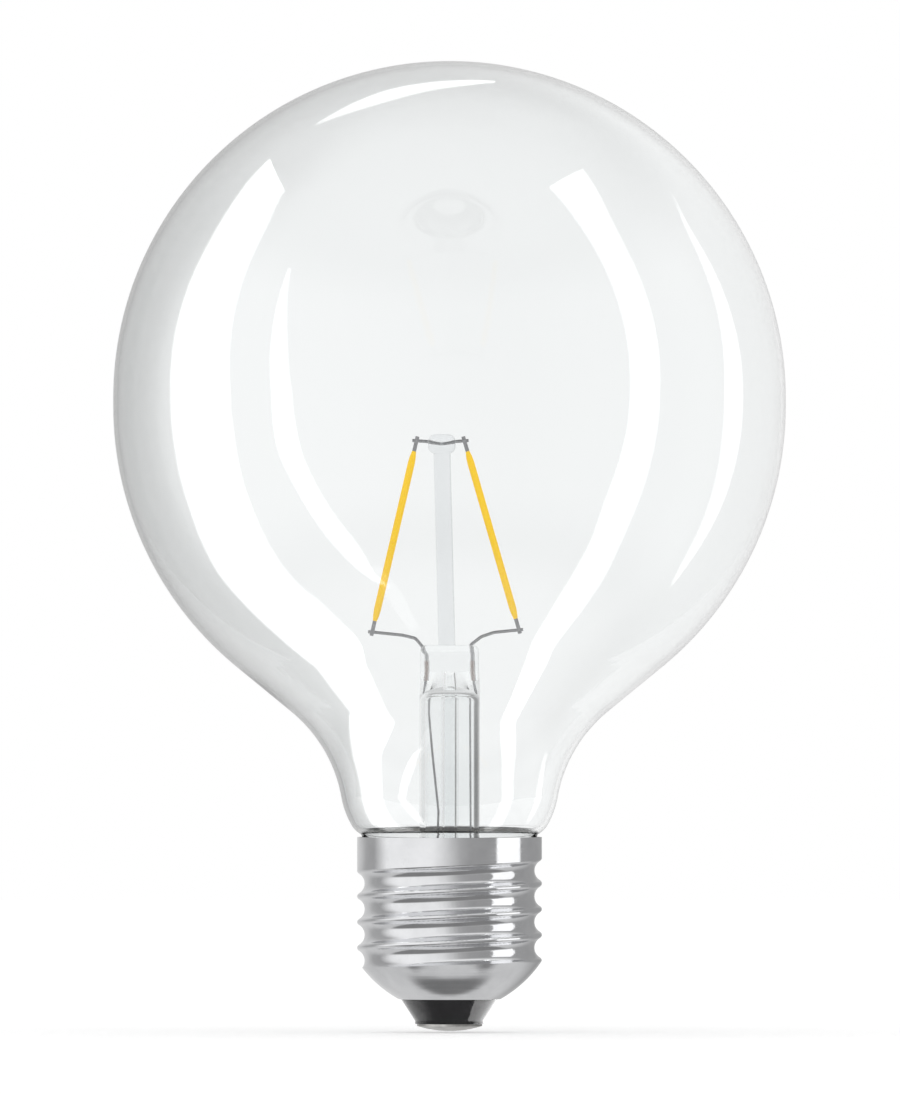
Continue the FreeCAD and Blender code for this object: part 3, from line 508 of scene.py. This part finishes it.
def foot_spot(tree, x, y, z):
    """Share of the light that is left under the lamp's foot."""
    across = math_node(tree, "DIVIDE", x, FOOT_SPOT_HALF_WIDTH)
    along = math_node(tree, "SUBTRACT", y, FOOT_SPOT_MIDDLE)
    along = math_node(tree, "DIVIDE", along, FOOT_SPOT_HALF_DEPTH)
    spread = math_node(tree, "ADD", square(tree, across), square(tree, along))
    spot = ramp(tree, spread, FOOT_SPOT_FADE, FOOT_SPOT_LEVEL, 1.0)
    return ramp(tree, z, FOOT_SPOT_LOW_BAND, 1.0, spot)


def cap_room():
    """The rolled shell and the contact mirror a room with shade low in front of them."""
    material, tree, strength = glow_material("cap_room")
    x, y, z = direction(tree)
    level = by_turn(tree, x, y, ROOM_OF_THE_CAP)
    level = ramp(tree, z, CAP_ROOM_TOP_BAND, level, CAP_ROOM_ABOVE)
    level = ramp(tree, z, CAP_ROOM_LOW_BAND, level, CAP_ROOM_BELOW)
    level = blend(tree, front_shade(tree, y, z), level, CAP_SHADE_LEVEL)
    level = math_node(tree, "MULTIPLY", level, foot_spot(tree, x, y, z))
    link(tree, math_node(tree, "MULTIPLY", level, reflected(tree)), strength)
    room("cap_room", CAP_PIECES, material, CAP_ROOM_RADIUS)


def foot_room():
    """The black insulator mirrors a room that is bright on its right."""
    material, tree, strength = glow_material("foot_room")
    x, y, _ = direction(tree)
    level = by_turn(tree, x, y, ROOM_OF_THE_FOOT)
    link(tree, math_node(tree, "MULTIPLY", level, reflected(tree)), strength)
    room("foot_room", FOOT_PIECES, material, FOOT_ROOM_RADIUS)


def card_material(name, strength):
    """Shines in what the lamp's front mirrors, but not in what its back wall does."""
    material, tree, socket = glow_material(name)
    path = node(tree, "ShaderNodeLightPath")
    front = math_node(tree, "LESS_THAN", path.outputs["Transmission Depth"], BACK_WALL_DEPTH)
    front = math_node(tree, "MULTIPLY", front, reflected(tree))
    link(tree, math_node(tree, "MULTIPLY", front, strength), socket)
    return material


def towards(turn, height):
    """Unit direction at some degrees round the lamp from the viewer, and at a height."""
    level = math.sqrt(1 - height**2)
    return Vector((level * math.sin(math.radians(turn)), -level * math.cos(math.radians(turn)),
                   height))


def smooth_edge(corners):
    """Directions along a smooth curve through the corners, with one cubic between each two."""
    points = [towards(*corner) for corner in corners]
    padded = [2 * points[0] - points[1]] + points + [2 * points[-1] - points[-2]]
    curve = []
    for a, b, c, d in zip(padded, padded[1:], padded[2:], padded[3:]):
        for i in range(CARD_STEPS_ALONG):
            t = i / CARD_STEPS_ALONG
            bend = (2 * a - 5 * b + 4 * c - d) * t**2 + (3 * b - a - 3 * c + d) * t**3
            curve.append((b + ((c - a) * t + bend) / 2).normalized())
    return curve + [points[-1]]


def light_card(name, edges, strength, pieces):
    """A bowed strip of light between two edges, each a list of turns and heights."""
    first, second = (smooth_edge(corners) for corners in edges)
    points, faces = [], []
    for start, end in zip(first, second):
        for j in range(CARD_STEPS_ACROSS + 1):
            way = start.lerp(end, j / CARD_STEPS_ACROSS).normalized()
            points.append(GLOBE_CENTRE + CARD_DISTANCE * way)
    row = CARD_STEPS_ACROSS + 1
    for i in range(len(first) - 1):
        for j in range(CARD_STEPS_ACROSS):
            corner = i * row + j
            faces.append((corner, corner + 1, corner + row + 1, corner + row))
    card = new_thing(name, points, faces)
    card.data.materials.append(card_material(name, strength))
    only_seen_in(card, pieces)


def light_cards():
    for name, (strength, pieces, edges) in LIGHT_CARDS.items():
        light_card(name, edges, strength, pieces)


# Floor


def pale_floor():
    """A pale round floor that shows white and keeps the lamp's shadow."""
    turns = [2 * math.pi * i / FLOOR_SIDES for i in range(FLOOR_SIDES)]
    rim = [(FLOOR_RADIUS * math.cos(t), FLOOR_RADIUS * math.sin(t), -FLOOR_DROP) for t in turns]
    floor = new_thing("floor", rim, [tuple(range(FLOOR_SIDES))])
    material, tree = bare_material("floor_white")
    grain = node(tree, "ShaderNodeTexNoise", Scale=FLOOR_GRAIN, Detail=NOISE_DETAIL)
    colour = node(tree, "ShaderNodeValToRGB")
    colour.color_ramp.elements[0].color = FLOOR_DARK
    colour.color_ramp.elements[1].color = FLOOR_PALE
    link(tree, grain.outputs["Fac"], colour.inputs[0])
    matt = node(tree, "ShaderNodeBsdfDiffuse")
    link(tree, colour.outputs[0], matt.inputs["Color"])
    glow = white_glow(tree)
    link(tree, blend(tree, straight(tree), 0.0, FLOOR_GLOW), glow.inputs["Strength"])
    clear = node(tree, "ShaderNodeBsdfTransparent")
    mix = node(tree, "ShaderNodeMixShader")
    link(tree, reflected(tree), mix.inputs[0])
    link(tree, added(tree, matt, glow), mix.inputs[1])
    link(tree, clear.outputs[0], mix.inputs[2])
    show_surface(tree, mix.outputs[0])
    floor.data.materials.append(material)


# Materials


def surface(name, **values):
    """A material with one principled shader, and its tree, shader and a place for textures."""
    material = bpy.data.materials.new(name)
    material.use_nodes = True
    tree = material.node_tree
    shader = tree.nodes["Principled BSDF"]
    for socket, value in values.items():
        shader.inputs[socket.replace("_", " ")].default_value = value
    place = node(tree, "ShaderNodeTexCoord")
    return material, tree, shader, place.outputs["Object"]


def noise(tree, place, cells, along=(1, 1, 1), detail=NOISE_DETAIL):
    """Noise of so many cells a metre, times the share of its own that each axis has."""
    mapping = node(tree, "ShaderNodeMapping", Scale=along)
    link(tree, place, mapping.inputs["Vector"])
    made = node(tree, "ShaderNodeTexNoise", Scale=cells, Detail=detail)
    link(tree, mapping.outputs[0], made.inputs["Vector"])
    return made.outputs["Fac"]


def two_tone(tree, shader, level, first, second):
    """Base colour that goes from first to second with the level of a noise."""
    colour = node(tree, "ShaderNodeValToRGB")
    for element, place, tone in zip(colour.color_ramp.elements, TONE_BAND, (first, second)):
        element.position = place
        element.color = (*tone, 1)
    link(tree, level, colour.inputs[0])
    link(tree, colour.outputs[0], shader.inputs["Base Color"])


def bump(tree, shader, height, depth):
    """Roughens the surface by a noise, to that depth in metres."""
    made = node(tree, "ShaderNodeBump", Strength=1.0, Distance=depth)
    link(tree, height, made.inputs["Height"])
    link(tree, made.outputs[0], shader.inputs["Normal"])


def clear_glass(name, first, second, bending):
    """Clear glass with wide, slight waves."""
    material, tree, shader, place = surface(
        name, Roughness=0.0, IOR=bending, Transmission_Weight=1.0)
    waves = noise(tree, place, cells=25.0, detail=1.0)
    two_tone(tree, shader, waves, first, second)
    bump(tree, shader, waves, depth=0.00001)
    return material


def filament_coat():
    """Yellow silicone with grains and low lumps, with a painted glow: it gives off a little light of
    its own, though it is no lamp, to stay yellow in the glass.
    """
    material, tree, shader, place = surface(
        "filament", Roughness=0.6, IOR=1.15, Emission_Color=(1.0, 0.58, 0.0, 1),
        Emission_Strength=0.33)
    grains = noise(tree, place, cells=2500.0)
    lumps = noise(tree, place, cells=900.0)
    two_tone(tree, shader, grains, first=(0.98, 0.6, 0.001), second=(1.0, 0.68, 0.002))
    bump(tree, shader, lumps, depth=0.0001)
    return material


def drawn_wire():
    material, tree, shader, place = surface("wire", Metallic=1.0, Roughness=0.35)
    grains = noise(tree, place, cells=3000.0)
    two_tone(tree, shader, grains, first=(0.3, 0.3, 0.31), second=(0.42, 0.42, 0.43))
    bump(tree, shader, grains, depth=0.00002)
    return material


def sealed_wire():
    material, tree, shader, place = surface("seal_wire", Metallic=1.0, Roughness=0.4)
    patches = noise(tree, place, cells=2000.0)
    two_tone(tree, shader, patches, first=(0.3, 0.2, 0.17), second=(0.4, 0.3, 0.27))
    return material


def rolled_metal():
    """Bright rolled sheet with faint marks round the cap and duller patches."""
    material, tree, shader, place = surface("cap_metal", Metallic=1.0)
    marks = noise(tree, place, cells=1.0, along=(40, 40, 6000))
    patches = noise(tree, place, cells=260.0)
    two_tone(tree, shader, patches, first=(0.76, 0.765, 0.78), second=(0.84, 0.845, 0.86))
    roughness = ramp(tree, marks, (0.3, 0.7), low=0.07, high=0.14)
    link(tree, roughness, shader.inputs["Roughness"])
    bump(tree, shader, marks, depth=0.000006)
    return material


def plated_contact():
    material, tree, shader, place = surface("contact_metal", Metallic=1.0, Roughness=0.3)
    marks = noise(tree, place, cells=900.0)
    two_tone(tree, shader, marks, first=(0.46, 0.455, 0.44), second=(0.6, 0.59, 0.57))
    bump(tree, shader, marks, depth=0.00004)
    return material


def black_glass():
    material, tree, shader, place = surface("black_glass", Roughness=0.06, IOR=1.52)
    swirls = noise(tree, place, cells=300.0)
    two_tone(tree, shader, swirls, first=(0.006, 0.006, 0.007), second=(0.014, 0.014, 0.016))
    bump(tree, shader, swirls, depth=0.00004)
    return material


def speckled(name, first, second, roughness, cells, depth):
    """A plain moulded, cast or lacquered surface with fine speckle."""
    material, tree, shader, place = surface(name, Roughness=roughness)
    specks = noise(tree, place, cells)
    two_tone(tree, shader, specks, first, second)
    bump(tree, shader, specks, depth)
    return material


def paint_parts():
    """Gives every piece the finish of its material slot, and the stem's glass its own."""
    finishes = {
        "clear_glass": clear_glass(
            "clear_glass", first=(0.96, 0.97, 0.97), second=(0.966, 0.975, 0.975), bending=1.5),
        "stem_glass": clear_glass(
            "stem_glass", first=(0.955, 0.963, 0.965), second=(0.96, 0.968, 0.97), bending=1.34),
        "post_glass": clear_glass(
            "post_glass", first=(0.86, 0.87, 0.88), second=(0.87, 0.88, 0.89), bending=1.34),
        "filament": filament_coat(),
        "wire": drawn_wire(),
        "seal_wire": sealed_wire(),
        "cap_metal": rolled_metal(),
        "contact_metal": plated_contact(),
        "black_glass": black_glass(),
        "cement": speckled(
            "cement", first=(0.8, 0.77, 0.71), second=(0.88, 0.86, 0.81),
            roughness=0.9, cells=1500.0, depth=0.0001),
        "circuit_board": speckled(
            "circuit_board", first=(0.02, 0.12, 0.05), second=(0.03, 0.17, 0.07),
            roughness=0.4, cells=700.0, depth=0.00002),
        "component_black": speckled(
            "component_black", first=(0.015, 0.015, 0.015), second=(0.04, 0.04, 0.04),
            roughness=0.6, cells=3000.0, depth=0.00002),
        "capacitor_sleeve": speckled(
            "capacitor_sleeve", first=(0.02, 0.02, 0.035), second=(0.035, 0.035, 0.05),
            roughness=0.3, cells=400.0, depth=0.00003),
        "resistor_body": speckled(
            "resistor_body", first=(0.3, 0.42, 0.34), second=(0.36, 0.5, 0.4),
            roughness=0.5, cells=1200.0, depth=0.00003),
    }
    slots = {part["node"]: part["material_slot"] for part in frame["record"]["subparts"]}
    slots.update(stem_tube="stem_glass", exhaust_tube="stem_glass", stem_post="post_glass")
    for name, part in shown.items():
        part.visible_glossy = name in MIRRORED_PIECES
        part.data.materials.clear()
        part.data.materials.append(finishes[slots[name]])


# Camera


def photo_camera():
    """Looks straight at the lamp from far away, with the lamp placed as in the photograph."""
    scale = LAMP_LENGTH / (LAMP_BOTTOM_PX - LAMP_TOP_PX)
    data = bpy.data.cameras.new("camera")
    data.lens = LENS_MM
    data.sensor_width = SENSOR_MM
    camera = bpy.data.objects.new("camera", data)
    bpy.context.scene.collection.objects.link(camera)
    aim_x = (FRAME_WIDTH_PX / 2 - LAMP_AXIS_PX) * scale
    aim_z = (LAMP_BOTTOM_PX - FRAME_HEIGHT_PX / 2) * scale
    distance = FRAME_HEIGHT_PX * scale * LENS_MM / SENSOR_MM
    camera.location = (aim_x, -distance, aim_z)
    camera.rotation_euler = (math.radians(90), 0, 0)
    bpy.context.scene.camera = camera


# The pieces that show: the part's own, with the blown globe in place of its glass
shown = dict(frame["nodes"])
shown["glass_envelope"] = blown_glass()
studio_world()
globe_room()
cap_room()
foot_room()
light_cards()
pale_floor()
paint_parts()
photo_camera()
bpy.context.scene.view_settings.view_transform = "Standard"
